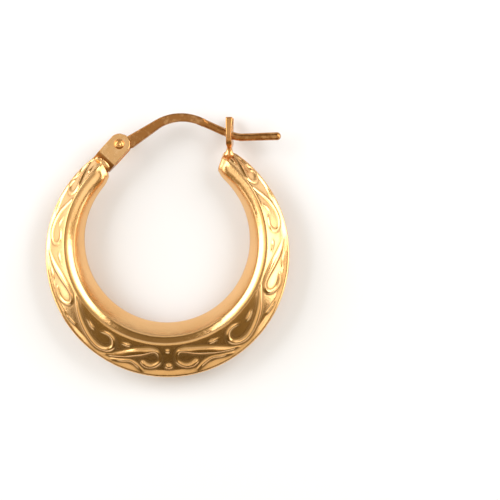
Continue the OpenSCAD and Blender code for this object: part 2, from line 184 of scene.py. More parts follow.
print("face %.2f mm wide below and %.2f mm at the ends" % (
    HOOP_R - crest_r(0.0), HOOP_R - crest_r(1.0)))

# %% [markdown]
# ## The skin of the hoop
# One closed grid goes round the section and along the hoop. It could be a swept curve, but the face needs
# a dense, even grid, because the scrolls are pressed into it afterwards. Softening the section a few times
# rounds the rim, the crest and the bevel's edge as polishing does.

# %% Half a section, from the rim over the crest to the inner ridge
STATIONS = 640
FACE_ROWS, BEVEL_ROWS, LIP_ROWS = 49, 12, 14
BORDER_SHARE = [0.00, 0.025, 0.16, 0.20, 0.42, 0.64, 0.86, 1.00]
BORDER_LIFT = [0.30, 1.00, 0.45, 0.00, 0.15, 0.20, 0.15, 0.00]
LIP_LIFT, BEVEL_ROLL = 0.06, 0.05
END_DROP, END_CURVE = 0.20, 1.5
SOFTEN_ACROSS, SOFTEN_ALONG = 2, 9
# Each end closes over 0.14 mm, beyond a band that is about 30 mm long on each side.
TIP_STEPS, TIP_REACH = 4, 0.14 / 30


def half_section(u):
    """Radius and height of every row of the half section at the stations u."""
    to_end = np.abs(u) ** END_CURVE
    edge_z = half_depth(u) * (1 - 2 * BEVEL_DROP / DEPTH_LOW - END_DROP * to_end)
    corners = [(rim_r(u), 0 * u), (crest_r(u), half_depth(u)), (bevel_r(u), edge_z), (inner_r(u), 0 * u)]
    rows = []
    for a, b, count in zip(corners, corners[1:], (FACE_ROWS, BEVEL_ROWS, LIP_ROWS)):
        dr, dz = b[0] - a[0], b[1] - a[1]
        length = np.hypot(dr, dz)
        for k in range(count):
            s = k / count
            if count == FACE_ROWS:
                lift = BORDER_H * np.interp(s, BORDER_SHARE, BORDER_LIFT) * np.sqrt(length / length.max())
            elif count == BEVEL_ROWS:
                lift = BEVEL_ROLL * to_end * math.sin(math.pi * s)
            else:
                lift = LIP_LIFT * math.sin(math.pi * s)
            rows.append((mix(a[0], b[0], s) + lift * dz / length,
                         mix(a[1], b[1], s) - lift * dr / length))
    rows.append(corners[-1])
    return np.array(rows)


def softened(rows):
    """The rows rounded across the section, as if they went on in the mirrored half."""
    mirror = np.array([1.0, -1.0])[:, None]
    for _ in range(SOFTEN_ACROSS):
        wide = np.concatenate([rows[2:0:-1] * mirror, rows, rows[-2:-4:-1] * mirror])
        rows = (wide[:-4] + 4 * wide[1:-3] + 6 * wide[2:-2] + 4 * wide[3:-1] + wide[4:]) / 16
    return rows


def evened(rows):
    """The rows rounded along the hoop, so that the noses start without a kink."""
    half = SOFTEN_ALONG // 2
    wide = np.pad(rows, [(0, 0), (0, 0), (half, half)], mode="edge")
    return sum(wide[:, :, k:k + rows.shape[2]] for k in range(SOFTEN_ALONG)) / SOFTEN_ALONG


tip = np.arange(TIP_STEPS, 0, -1) / TIP_STEPS * math.pi / 2
past_end = TIP_REACH * np.sin(tip)
stations = np.concatenate([-1 - past_end, np.linspace(-1, 1, STATIONS), 1 + past_end[::-1]])
closing = np.concatenate([np.cos(tip), np.ones(STATIONS), np.cos(tip[::-1])])
section = evened(softened(half_section(np.clip(stations, -1, 1))))
section[:, 1] *= DEPTH_LOW / 2 / section[:, 1].max()
mid_r = (section[0, 0] + section[-1, 0]) / 2
section[:, 0] = mid_r + (section[:, 0] - mid_r) * np.sqrt(closing)
section[:, 1] *= closing
upper = np.stack([place(stations, r, z) for r, z in section], axis=1)
print("half skin", upper.shape)

# %% [markdown]
# ## The scrolls
# The ornament is a running vine of C-shaped scrolls with small drops between them, the same to the left
# and to the right of two drops at the lowest point, and a little off the middle. Each scroll is one short
# table: hundredths along the band, hundredths across it from the rim to the crest, and line width in
# hundredths of the widest line.

# %% Tables of the pattern
SCROLL_W = 1.0
SHIFT_LOW, SHIFT_SIDE, SHIFT_FROM, SHIFT_OVER = 1.3, 3.5, 0.03, 0.23
SCROLL_A = [(24.3, 18, 10), (21.6, 27, 40), (19.4, 38, 64), (16.8, 50, 84), (13.6, 62, 94), (10.4, 71, 88),
            (7.2, 79, 66), (4.7, 78, 44), (3.4, 67, 32), (3.1, 52, 32), (4.0, 41, 46), (6.0, 32, 62),
            (8.0, 32, 72), (9.3, 37, 64)]
SCROLL_B = [(46.8, 89, 12), (44.3, 79, 36), (41.3, 66, 48), (38.0, 53, 56), (34.8, 42, 60), (31.4, 32, 62),
            (28.4, 27, 62), (26.0, 28, 60), (24.0, 35, 56), (22.8, 48, 50), (22.9, 62, 44), (24.1, 75, 40),
            (26.1, 81, 32), (28.2, 79, 24), (29.9, 73, 12)]
SCROLL_C = [(64.3, 21, 12), (62.0, 33, 42), (59.3, 48, 62), (56.6, 62, 70), (53.8, 72, 64), (50.8, 79, 52),
            (47.9, 78, 42), (46.0, 68, 38), (45.3, 53, 38), (46.1, 38, 42), (48.0, 29, 46), (50.1, 28, 44),
            (52.0, 33, 30)]
SCROLL_D = [(84.2, 88, 12), (82.6, 79, 26), (80.6, 65, 36), (78.3, 50, 42), (75.6, 37, 46), (72.8, 29, 42),
            (70.3, 27, 36), (68.3, 33, 30), (67.2, 45, 28), (67.1, 59, 28), (67.9, 73, 30), (69.5, 81, 30),
            (71.2, 80, 26), (72.6, 74, 16)]
SCROLL_E = [(96.0, 18, 10), (94.6, 31, 26), (92.9, 48, 36), (91.1, 65, 40), (89.3, 78, 36), (87.4, 82, 30),
            (85.9, 73, 26), (85.1, 58, 26), (85.2, 42, 28), (86.1, 28, 30), (87.5, 21, 30), (88.9, 24, 22)]
DROPS = [
    [(9.2, 14, 30), (10.4, 22, 44), (11.8, 28, 46), (13.6, 33, 36), (15.2, 33, 32), (17.0, 28, 42),
     (19.0, 22, 38), (21.2, 16, 22)],
    [(16.4, 77, 24), (17.3, 78, 40), (18.4, 77, 30), (20.6, 76, 10)],
    [(32.6, 65, 22), (33.6, 67, 36), (34.9, 70, 30), (37.2, 77, 8)],
    [(38.0, 25, 18), (39.2, 24, 30), (40.8, 22, 24), (43.4, 20, 8)],
    [(59.6, 79, 8), (61.4, 76, 26), (62.8, 74, 36), (63.8, 73, 20)],
    [(54.2, 25, 10), (55.6, 28, 30), (57.4, 27, 30), (59.2, 23, 8)],
    [(73.6, 61, 16), (74.5, 64, 28), (75.6, 68, 22), (77.0, 76, 8)],
    [(77.2, 20, 16), (78.2, 20, 26), (79.4, 19, 20), (81.0, 17, 8)],
    [(90.0, 16, 14), (90.9, 16, 24), (91.9, 15, 18), (93.0, 14, 8)],
    [(94.6, 72, 16), (95.3, 68, 26), (96.0, 63, 20), (96.8, 55, 8)],
]
MIDDLE_DROPS = [
    [(-0.05, 80, 42), (0.05, 80, 42)],
    [(-0.05, 34, 70), (0.05, 34, 70)],
]
BESIDE = [SCROLL_A, SCROLL_B, SCROLL_C, SCROLL_D, SCROLL_E] + DROPS
lines = [(side, rows) for rows in BESIDE for side in (-1, 1)] + [(1, rows) for rows in MIDDLE_DROPS]
print(len(lines), "raised lines on a face")

# %% [markdown]
# ## Pressing the scrolls
# A stamped line is a low ridge with rounded shoulders. For every line the distance from each point of the
# face to its smooth middle line is measured, and the height follows from how deep the point lies inside
# the line's width. Narrow lines lean a little, higher towards the rim, so that their tops catch more light
# than the ground. Crossing lines take the higher of the two. The heights are kept as `relief`, an attribute
# of the skin.

# %% Smooth middle lines on the face
STEPS_BETWEEN = 8
PATTERN_ANGLE = float(end_angle(-1) + end_angle(1)) / 2


def through(rows):
    """Points of a smooth curve through the rows of a table, as place, place across and width."""
    p = np.array(rows, float) / 100
    p = np.concatenate([[2 * p[0] - p[1]], p, [2 * p[-1] - p[-2]]])
    t = (np.arange(STEPS_BETWEEN) / STEPS_BETWEEN)[:, None]
    out = []
    for a, b, c, d in zip(p, p[1:], p[2:], p[3:]):
        out.append(0.5 * (2 * b + (c - a) * t + (2 * a - 5 * b + 4 * c - d) * t ** 2
                          + (3 * b - a - 3 * c + d) * t ** 3))
    return np.concatenate(out + [p[-2:-1]])


def on_face(side, along, across):
    """The point of the plain face at shares along the band and across it."""
    shift = mix(SHIFT_LOW, SHIFT_SIDE, smooth((along - SHIFT_FROM) / SHIFT_OVER))
    angle = side * along * PATTERN_ANGLE + shift
    u = angle / np.where(angle < 0, end_angle(-1), end_angle(1))
    return place(u, mix(rim_r(u), crest_r(u), across), across * half_depth(u))


# %% Height of the relief
RELIEF_H = 0.2
NARROWEST, CLEARLY = 0.04, 0.3
SHOULDER_IN, SHOULDER_OUT = 0.17, 0.05
DOME = 0.25
LEAN, LEAN_FROM, LEAN_TO = 0.22, 0.38, 0.46
END_FADE = 0.03


def pressed(face):
    """Relief, 0 on the ground to about 1 on the widest line, at every point of the face."""
    flat = face.reshape(-1, 3)
    total = np.zeros(len(flat))
    for side, rows in lines:
        curve = through(rows)
        middle = on_face(side, curve[:, 0], curve[:, 1])
        half_w = curve[:, 2].clip(NARROWEST) * SCROLL_W / 2
        reach = half_w.max() + SHOULDER_OUT
        near = np.all((flat > middle.min(0) - reach) & (flat < middle.max(0) + reach), axis=1)
        index = np.nonzero(near)[0]
        distance = np.linalg.norm(flat[index, None, :] - middle[None], axis=2)
        inside = half_w - distance
        best = inside.argmax(axis=1)
        inside = inside[np.arange(len(index)), best]
        w = half_w[best]
        shoulder = smooth((inside + SHOULDER_OUT) / (np.minimum(w, SHOULDER_IN) + SHOULDER_OUT))
        dome = 1 - DOME * np.clip(1 - inside / w, 0, 1) ** 2
        towards_rim = np.linalg.norm(flat[index, :2], axis=1) - np.linalg.norm(middle[best, :2], axis=1)
        lean = LEAN * np.interp(w, (LEAN_FROM, LEAN_TO), (1, 0)) * towards_rim.clip(-w, w) / RELIEF_H
        total[index] = np.maximum(total[index], (np.sqrt(w * 2 / SCROLL_W) * dome + lean) * shoulder)
    return total.reshape(face.shape[:2])


# %% Relief of the whole skin
def blurred(grid, steps):
    """The mean over a square of neighbours, steps rows to each side."""
    for axis in (0, 1):
        pad = [(steps, steps) if a == axis else (0, 0) for a in (0, 1)]
        wide = np.cumsum(np.pad(grid, pad, mode="edge"), axis=axis)
        wide = np.insert(wide, 0, 0, axis=axis)
        n = 2 * steps + 1
        grid = (np.take(wide, range(n, wide.shape[axis]), axis) -
                np.take(wide, range(0, wide.shape[axis] - n), axis)) / n
    return grid


face_rows = slice(0, FACE_ROWS)
relief = np.zeros(upper.shape[:2])
relief[:, face_rows] = pressed(upper[:, face_rows])
relief *= smooth((1 - np.abs(stations)) / END_FADE)[:, None]
relief[:, face_rows] = blurred(relief[:, face_rows], 1)
print("relief covers %.0f%% of the face" % (100 * np.mean(relief[:, face_rows] > CLEARLY)))

# %% [markdown]
# ## Painted shade, and where polish doesn't reach
# A second attribute is high where painted shade darkens the colour and the metal is less polished: close
# beside the raised lines, in the broader low places and a little on the satin inner wall. On the two sides
# of the hoop it also paints dark reflections into a band just inside the crest and into the thin line at the
# bevel's inner edge, where polished gold shows brown.
# Both are weaker near the ends.

# %% Painted shade and dull places of the skin
BROAD_BLUR, LINE_BLUR = 7, 2
# Painted shade beside the raised lines, in the low places and on the inner wall; painted dark reflections in
# the crest band and at the bevel's edge.
BROAD_PAINTED_SHADE, LINE_PAINTED_SHADE = 1.5, 9
WALL_SHADE_AND_DULL, CREST_PAINTED_DARK, EDGE_PAINTED_DARK = 0.17, 0.85, 0.9
SIDES_FROM, SIDES_OVER = 0.2, 0.2
ENDS_FROM, ENDS_OVER, ENDS_LESS = 0.76, 0.14, 0.6
BAND_OUT, BAND_FADE = 0.5, 0.25


def below(grid, steps):
    """How far each point lies under the mean of its neighbours."""
    return np.clip(blurred(grid, steps) - grid, 0, 1)


ground = relief[:, face_rows]
from_lowest = np.abs(stations)[:, None]
on_sides = smooth((from_lowest - SIDES_FROM) / SIDES_OVER)
on_sides *= 1 - ENDS_LESS * smooth((from_lowest - ENDS_FROM) / ENDS_OVER)
band = smooth((BAND_OUT - np.arange(BEVEL_ROWS) / BEVEL_ROWS) / BAND_FADE)
bevel_end = FACE_ROWS + BEVEL_ROWS
shade_and_dull = np.zeros_like(relief)
# Painted shade in the face's low places and close beside the raised lines.
shade_and_dull[:, face_rows] = BROAD_PAINTED_SHADE * below(ground, BROAD_BLUR) + LINE_PAINTED_SHADE * below(ground, LINE_BLUR)
shade_and_dull = shade_and_dull.clip(0, 1)
# Painted shade on the satin inner wall, which is also rougher.
shade_and_dull[:, -LIP_ROWS:] = WALL_SHADE_AND_DULL
# Painted dark reflections on the sides: a brown band inside the crest and a line at the bevel's edge.
shade_and_dull[:, FACE_ROWS:bevel_end] = CREST_PAINTED_DARK * on_sides * band
for first, last, dull in ((FACE_ROWS - 1, FACE_ROWS, CREST_PAINTED_DARK), (bevel_end - 1, bevel_end + 1, EDGE_PAINTED_DARK)):
    shade_and_dull[:, first:last] = np.maximum(shade_and_dull[:, first:last], dull * on_sides)
print("dull places cover %.0f%% of the half skin" % (100 * np.mean(shade_and_dull > CLEARLY)))

# %% [markdown]
# ## Materials
# All the metal is the same yellow gold, but each piece is darkened by its own tone of painted shade and
# wears its own finish: the stamped skin has painted shade and less polish in the recesses, so its raised
# lines look bright, the drawn wire carries fine lines along its length, and wire and bracket show paler
# patches where they are rubbed. Patterns read object coordinates, so they stay with the piece when it
# swings.

# %% A small helper for node trees
class Nodes:
    """Adds nodes to a tree. Inputs that are sockets are linked, others are set."""

    def __init__(self, tree):
        self.tree = tree

    def feed(self, node, inputs):
        for key, value in dict(inputs).items():
            if isinstance(value, bpy.types.NodeSocket):
                self.tree.links.new(value, node.inputs[key])
            else:
                node.inputs[key].default_value = value
        return node

    def node(self, kind, inputs=(), **settings):
        node = self.tree.nodes.new(kind)
        for key, value in settings.items():
            setattr(node, key, value)
        return self.feed(node, inputs)

    def add(self, kind, inputs=(), **settings):
        """A new node's first output."""
        return self.node(kind, inputs, **settings).outputs[0]

    def math(self, operation, a, b=0.0, c=0.0):
        return self.add("ShaderNodeMath", {0: a, 1: b, 2: c}, operation=operation)

    def vector(self, operation, a, b):
        return self.add("ShaderNodeVectorMath", {0: a, 1: b}, operation=operation)

    def scaled(self, vector, factor):
        return self.add("ShaderNodeVectorMath", {0: vector, "Scale": factor}, operation="SCALE")


# %% Colours, speckle and new materials
MIX_A, MIX_B, MIXED = 6, 7, 2


def mixed(n, factor, a, b):
    """Two colours mixed. A mix node has many sockets called A and B, so its colours go by number."""
    return n.node("ShaderNodeMix", {0: factor, MIX_A: a, MIX_B: b}, data_type="RGBA").outputs[MIXED]


def speckle(n, place_of, size_mm, detail, roughness=0.5):
    return n.add("ShaderNodeTexNoise", {"Vector": place_of, "Scale": 1 / (size_mm * MM), "Detail": detail,
                                        "Roughness": roughness})


def new_material(name):
    """A material, the helper for its nodes and its shader."""
    material = bpy.data.materials.new(name)
    material.use_nodes = True
    return material, Nodes(material.node_tree), material.node_tree.nodes["Principled BSDF"]


# %% Gold
GOLD_BRIGHT = (0.97, 0.625, 0.315, 1.0)
GOLD_WARM = (0.88, 0.505, 0.20, 1.0)
# The dark brown of the painted shade in the skin's recesses and of its painted dark reflections.
GOLD_PAINTED_SHADE = (0.25, 0.125, 0.025, 1.0)
# Tones of painted shade: each piece's copy of the one gold is made darker by how much light it should seem
# to get.
BRACKET_PAINTED_SHADE, WIRE_PAINTED_SHADE, CATCH_PAINTED_SHADE = (0.95, 0.90, 0.82), (0.47, 0.33, 0.20), (0.74, 0.60, 0.46)
RIVET_PAINTED_SHADE, FOOT_PAINTED_SHADE = (0.85, 0.72, 0.55), (0.36, 0.25, 0.15)
SCRATCH_STRETCH, RUBBED_STRETCH = (1.0, 6.0, 2.5), (1.0, 1.0, 0.5)
CLOUD_ROUGH, SCRATCH_ROUGH, RECESS_ROUGH, PAINTED_SHADE_COVER = 0.10, 0.06, 0.25, 0.85
RUBBED_MM, RUBBED_FROM, RUBBED_FULL = 0.55, 0.50, 0.66
DENT_MM, DENT_DEEP, SCRATCH_DEEP = 0.9, 0.06, 0.02


def gold(name, roughness, cloud_mm, scratch_mm, scratch_bump, dents, tone=(1, 1, 1), with_shade_and_dull=False,
         worn=0.0):
    """Polished gold: cloudy colour, uneven polish, fine scratches, shallow dents and rubbed patches,
    darkened by the piece's tone of painted shade and, if asked, by painted shade in the recesses.
    """
    material, n, shader = new_material(name)
    place_of = n.node("ShaderNodeTexCoord").outputs["Object"]
    cloud = speckle(n, place_of, cloud_mm, detail=3.0)
    stretched = n.vector("MULTIPLY", place_of, SCRATCH_STRETCH)
    scratch = speckle(n, stretched, scratch_mm, detail=4.0, roughness=0.7)
    # The tone paints the piece's shade into both colours.
    bright, warm = ((*(c * t for c, t in zip(colour, tone)), 1.0) for colour in (GOLD_BRIGHT, GOLD_WARM))
    tint = mixed(n, cloud, bright, warm)
    rough = n.math("MULTIPLY_ADD", cloud, CLOUD_ROUGH, roughness - CLOUD_ROUGH / 2)
    rough = n.math("MULTIPLY_ADD", scratch, SCRATCH_ROUGH, rough)
    # Painted shade: a dark brown is mixed into the colour where the skin's attribute is high, and the metal
    # is rougher there.
    if with_shade_and_dull:
        low = n.node("ShaderNodeAttribute", attribute_name="shade_and_dull").outputs["Fac"]
        tint = mixed(n, n.math("MULTIPLY", low, PAINTED_SHADE_COVER), tint, GOLD_PAINTED_SHADE)
        rough = n.math("MULTIPLY_ADD", low, RECESS_ROUGH, rough)
    if worn:
        stretched = n.vector("MULTIPLY", place_of, RUBBED_STRETCH)
        spots = speckle(n, stretched, RUBBED_MM, detail=3.0, roughness=0.6)
        rubbed = n.add("ShaderNodeMapRange", {"Value": spots, "From Min": RUBBED_FROM,
                                              "From Max": RUBBED_FULL, "To Max": worn})
        tint = mixed(n, rubbed, tint, GOLD_BRIGHT)
    dent = speckle(n, place_of, DENT_MM, detail=1.0)
    scratched = n.add("ShaderNodeBump", {"Height": scratch, "Strength": scratch_bump,
                                         "Distance": SCRATCH_DEEP * MM})
    dented = n.add("ShaderNodeBump", {"Height": dent, "Strength": dents, "Distance": DENT_DEEP * MM,
                                      "Normal": scratched})
    n.feed(shader, {"Base Color": tint, "Roughness": rough, "Metallic": 1.0, "Normal": dented})
    return material


# Every tone below is painted shade, a darker copy of the same gold for each piece.
# Roughness, clouds and scratches in mm, then the strength of the scratches and of the dents.
stamped_gold = gold("stamped_gold", 0.13, 4.0, 0.35, 0.2, 0.28, with_shade_and_dull=True)
bracket_gold = gold("bracket_gold", 0.16, 2.0, 0.25, 0.4, 0.5, tone=BRACKET_PAINTED_SHADE, worn=0.6)
wire_gold = gold("drawn_gold_painted_shade", 0.2, 3.0, 0.2, 0.5, 0.8, tone=WIRE_PAINTED_SHADE, worn=0.32)
catch_gold = gold("sawn_gold_painted_shade", 0.2, 2.0, 0.2, 0.5, 0.4, tone=CATCH_PAINTED_SHADE)
rivet_gold = gold("headed_gold_painted_shade", 0.18, 1.0, 0.2, 0.4, 0.3, tone=RIVET_PAINTED_SHADE)
foot_gold = gold("foot_gold_painted_shade", 0.3, 1.0, 0.2, 0.4, 0.3, tone=FOOT_PAINTED_SHADE)

# %% Painted shade for the inside of the vent hole
# The disc's colour is painted shade, black and dark brown, where the inside of the hole would be.
VENT_SHADE_BLACK, VENT_SHADE_BROWN = (0.010, 0.006, 0.003, 1), (0.060, 0.035, 0.015, 1)
VENT_ROUGH, SPECK_MM = 0.7, 0.1
vent_painted_shade, n, shader = new_material("vent_hole_painted_shade")
speck = speckle(n, n.node("ShaderNodeTexCoord").outputs["Object"], SPECK_MM, detail=2.0)
n.feed(shader, {"Base Color": mixed(n, speck, VENT_SHADE_BLACK, VENT_SHADE_BROWN), "Roughness": VENT_ROUGH})
print("materials", [m.name for m in bpy.data.materials])

# %% [markdown]
# ## Helpers for pieces
# `add_mesh` and `add_work` make plain meshes at the origin, and `settle` ties a finished piece to its body.
# `grown` runs a Geometry Nodes tree on a piece and keeps the result as a plain mesh.

# %% Pieces
SAME_POINT = 1e-7
# The body that a piece rides on, the CAD node that it stands for, and its slot.
ON_HOOP = ("hoop", "hoop", "polished_gold")
ON_WIRE = ("ear_wire", "ear_wire", "wire_gold")


def add_piece(name, mesh):
    piece = bpy.data.objects.new(name, mesh)
    bpy.context.scene.collection.objects.link(piece)
    return piece


def add_mesh(name, points, faces, edges=()):
    mesh = bpy.data.meshes.new(name)
    mesh.from_pydata([tuple(p) for p in points], edges, faces)
    mesh.validate()
    return add_piece(name, mesh)


def add_work(name, work):
    """A finished bmesh as a smooth piece."""
    mesh = bpy.data.meshes.new(name)
    work.to_mesh(mesh)
    work.free()
    mesh.shade_smooth()
    return add_piece(name, mesh)


def tube_faces(rings, ring_points, capped=False, round_again=False):
    """The faces between rings of points, with flat ends or with the last ring joined to the first."""
    faces = []
    for i in range(rings if round_again else rings - 1):
        a, b = i * ring_points, (i + 1) % rings * ring_points
        for j in range(ring_points):
            k = (j + 1) % ring_points
            faces.append((a + j, a + k, b + k, b + j))
    if capped:
        last = (rings - 1) * ring_points
        faces += [tuple(range(ring_points)), tuple(range(last, last + ring_points))]
    return faces


def outwards(piece):
    """Turns a closed mesh's faces outwards, shades it smooth and joins doubled points."""
    work = bmesh.new()
    work.from_mesh(piece.data)
    bmesh.ops.remove_doubles(work, verts=work.verts, dist=SAME_POINT)
    bmesh.ops.recalc_face_normals(work, faces=work.faces)
    work.to_mesh(piece.data)
    work.free()
    piece.data.shade_smooth()
    return piece


def sharp_by_angle(piece, degrees=35):
    """Edges that turn by more than the angle are shaded sharp."""
    piece.data.set_sharp_from_angle(angle=math.radians(degrees))
    return piece


def keep(piece, label, values):
    """Keeps one number or one direction for every point of the piece."""
    values = np.asarray(values, np.float32)
    kind, field = ("FLOAT", "value") if values.ndim == 1 else ("FLOAT_VECTOR", "vector")
    piece.data.attributes.new(label, kind, "POINT").data.foreach_set(field, values.ravel())


def settle(piece, body, node, slot, material=None):
    """Ties a finished piece to its body, its CAD node and its material."""
    if material is not None:
        piece.data.materials.clear()
        piece.data.materials.append(material)
    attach(piece, body)
    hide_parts(node)
    triangles = sum(len(p.vertices) - 2 for p in piece.data.polygons)
    print("%-16s %6d triangles" % (piece.name, triangles))
    return piece


# %% Geometry Nodes
def new_tree(name, inputs):
    """A Geometry Nodes tree with the named inputs, its helper and the sockets of its input node."""
    tree = bpy.data.node_groups.new(name, "GeometryNodeTree")
    for label, kind in {"Geometry": "Geometry", **inputs}.items():
        tree.interface.new_socket(label, in_out="INPUT", socket_type="NodeSocket" + kind)
    tree.interface.new_socket("Geometry", in_out="OUTPUT", socket_type="NodeSocketGeometry")
    n = Nodes(tree)
    return tree, n, n.node("NodeGroupInput").outputs


def named(n, name, kind="FLOAT"):
    return n.add("GeometryNodeInputNamedAttribute", {"Name": name}, data_type=kind)


def moved_out(n, geometry, distance):
    """The points moved by a distance along their own normals."""
    offset = n.scaled(n.add("GeometryNodeInputNormal"), distance)
    return n.add("GeometryNodeSetPosition", {"Geometry": geometry, "Offset": offset})


def soft_waves(n, size, height, inputs=(), **settings):
    """Soft waves of the given size, up to half the height up or down."""
    noise = n.add("ShaderNodeTexNoise", {"Vector": n.add("GeometryNodeInputPosition"),
                                         "Scale": n.math("DIVIDE", 1.0, size), **dict(inputs)}, **settings)
    return n.math("MULTIPLY", n.math("SUBTRACT", noise, 0.5), height)


def close_tree(n, geometry, material):
    whole = n.add("GeometryNodeRealizeInstances", {"Geometry": geometry})
    done = n.add("GeometryNodeSetMaterial", {"Geometry": whole, "Material": material})
    n.node("NodeGroupOutput", {"Geometry": done})


def grown(piece, tree, values):
    """Runs the tree on the piece with the named values and keeps the result as a plain mesh."""
    modifier = piece.modifiers.new(tree.name, "NODES")
    modifier.node_group = tree
    for item in tree.interface.items_tree:
        if item.in_out == "INPUT" and item.name in values:
            modifier[item.identifier] = values[item.name]
    bpy.context.view_layer.update()
    graph = bpy.context.evaluated_depsgraph_get()
    mesh = bpy.data.meshes.new_from_object(piece.evaluated_get(graph), depsgraph=graph,
                                           preserve_all_data_layers=True)
    piece.modifiers.clear()
    piece.data = mesh
    return piece


# %% [markdown]
# ## The stamped hoop
# The plain skin carries the heights as attributes, and a Geometry Nodes tree presses them out along the
# skin's own normals, with a faint unevenness as thin stamped metal has. The height is one named input.

# %% The plain skin with its attributes
def ring_order(half, mirrored=False):
    """Both halves as one closed loop of rows: up over the front, then back under."""
    back = half[:, -2:0:-1].copy()
    if mirrored:
        back[..., 2] *= -1
    return np.concatenate([half, back], axis=1)


points = ring_order(upper, mirrored=True)
hoop = add_mesh("stamped_hoop", framed(points.reshape(-1, 3)), tube_faces(*points.shape[:2]))
keep(hoop, "relief", ring_order(relief).ravel())
# The second attribute carries the painted shade and the lesser polish to the gold material.
keep(hoop, "shade_and_dull", ring_order(shade_and_dull).ravel())
outwards(hoop)

# %% The tree that presses the pattern
tree, n, given = new_tree("pressed pattern", {
    "Relief height": "Float", "Unevenness": "Float", "Uneven size": "Float", "Seed": "Float",
    "Material": "Material"})
raised = n.math("MULTIPLY", named(n, "relief"), given["Relief height"])
uneven = soft_waves(n, given["Uneven size"], given["Unevenness"], {"W": given["Seed"]},
                    noise_dimensions="4D")
close_tree(n, moved_out(n, given["Geometry"], n.math("ADD", raised, uneven)), given["Material"])

grown(hoop, tree, {"Relief height": RELIEF_H * MM, "Unevenness": 0.016 * MM, "Uneven size": 2.6 * MM,
                   "Seed": 3.0, "Material": stamped_gold})
settle(hoop, *ON_HOOP)

# %% [markdown]
# ## The hinge bracket
# Two round ears stand on a small block that is let into the hoop's end. Each is a flat outline given its
# thickness, with the edges eased so that they catch the light.

# %% Plates with eased edges
EASE_CORNERS, EASE_PROFILE = 25, 0.6


def plate(name, outline, low, high, ease, segments=2):
    """A flat closed outline in the plane, from height low to height high, with eased edges."""
    work = bmesh.new()
    face = work.faces.new([work.verts.new((x, y, low)) for x, y in outline])
    pulled = bmesh.ops.extrude_face_region(work, geom=[face])["geom"]
    top = [v for v in pulled if isinstance(v, bmesh.types.BMVert)]
    bmesh.ops.translate(work, vec=(0, 0, high - low), verts=top)
    bmesh.ops.recalc_face_normals(work, faces=work.faces)
    edges = [e for e in work.edges if e.calc_face_angle(0) > math.radians(EASE_CORNERS)]
    bmesh.ops.bevel(work, geom=edges, offset=ease, segments=segments, affect="EDGES",
                    profile=EASE_PROFILE)
    return add_work(name, work)


def points_of(piece):
    return np.array([v.co for v in piece.data.vertices])


def put_points(piece, points):
    piece.data.vertices.foreach_set("co", np.asarray(points, np.float32).ravel())
    piece.data.update()
    return piece


def moved(piece, axes, origin):
    """Puts a piece drawn in local millimetres into the shared frame, in its mesh."""
    return put_points(piece, framed(points_of(piece) @ np.array(axes, float) + np.array(origin, float)))


def joined(name, pieces):
    """Several meshes as one piece."""
    work = bmesh.new()
    for p in pieces:
        work.from_mesh(p.data)
        bpy.data.objects.remove(p)
    return add_work(name, work)


def arc(centre, radius, start, end, steps):
    """Points round a centre from the angle start to the angle end."""
    return [tuple(centre + radius * way(mix(start, end, i / steps))) for i in range(steps + 1)]


# %% The bracket
BRACKET_W, BRACKET_INSET, BRACKET_ROOT, BRACKET_LEAN = 2.1, 0.95, 0.35, 13.0
EAR_T, BASE_T, BAR_T, SIDE_PLAY = 0.3, 0.45, 0.9, 0.05
SHOULDER_DROP, BASE_INTO_EARS = 0.32, 0.15
EAR_EASE, EAR_STEPS, FOOT_EASE, FOOT_INSET = 0.09, 28, 0.05, 0.01
seat = place(-1.0, HOOP_R - BRACKET_INSET, 0.0)[:2]
bracket_way = math.degrees(math.atan2(seat[1], seat[0])) - 90 + BRACKET_LEAN
bracket_reach = float(np.linalg.norm(PIVOT - seat))
along, left = way(bracket_way), way(bracket_way + 90)
lying, upright = [(*along, 0), (*left, 0), (0, 0, 1)], [(*along, 0), (0, 0, 1), (*left, 0)]
half_w, top_z = BRACKET_W / 2, BAR_T / 2 + SIDE_PLAY + EAR_T
ear_round = arc((bracket_reach, 0), half_w, -90, 90, EAR_STEPS)
ear_outline = [(BASE_T, -half_w)] + ear_round + [(BASE_T, half_w)]
ears = [moved(plate(name, ear_outline, low, low + EAR_T, EAR_EASE, segments=3), lying, (*seat, 0))
        for name, low in (("ear_front", top_z - EAR_T), ("ear_back", -top_z))]
bracket = joined("hinge_bracket", ears)
settle(sharp_by_angle(bracket), *ON_HOOP, bracket_gold)

# %% The block at its foot, with sloping shoulders
foot_z = top_z - SHOULDER_DROP
foot_rows = [(-BRACKET_ROOT, foot_z), (0.0, foot_z), (BASE_T, top_z), (BASE_T + BASE_INTO_EARS, top_z)]
foot_outline = foot_rows + [(x, -z) for x, z in reversed(foot_rows)]
foot = plate("bracket_foot", foot_outline, FOOT_INSET - half_w, half_w - FOOT_INSET, FOOT_EASE)
settle(sharp_by_angle(moved(foot, upright, (*seat, 0))), *ON_HOOP, foot_gold)

# %% [markdown]
# ## Solder at the bracket
# Where the bracket meets the hoop, solder fills the corner. It is a row of squashed, slightly wavy balls,
# mostly sunk into both parts: a collar all round, a ridge and three beads in front, and one bead behind.

# %% Drops of solder
RIPPLES, RIPPLE_START = (3, 4, 2), 1
SOLDER_DROPS = {
    "collar": ((-0.12, 0.0, 0.0), (0.28, 0.96, 0.50), 0, 0.06),
    "front_ridge": ((0.02, 0.0, 0.49), (0.31, 0.92, 0.26), 0, 0.10),
    "outer_bead": ((-0.04, 0.50, 0.55), (0.26, 0.42, 0.22), 22, 0.14),
    "middle_bead": ((-0.08, -0.04, 0.56), (0.25, 0.36, 0.20), 30, 0.14),
    "inner_bead": ((0.02, -0.58, 0.52), (0.20, 0.30, 0.18), -10, 0.14),
    "back_bead": ((-0.10, -0.20, -0.42), (0.20, 0.44, 0.22), -8, 0.06),
}


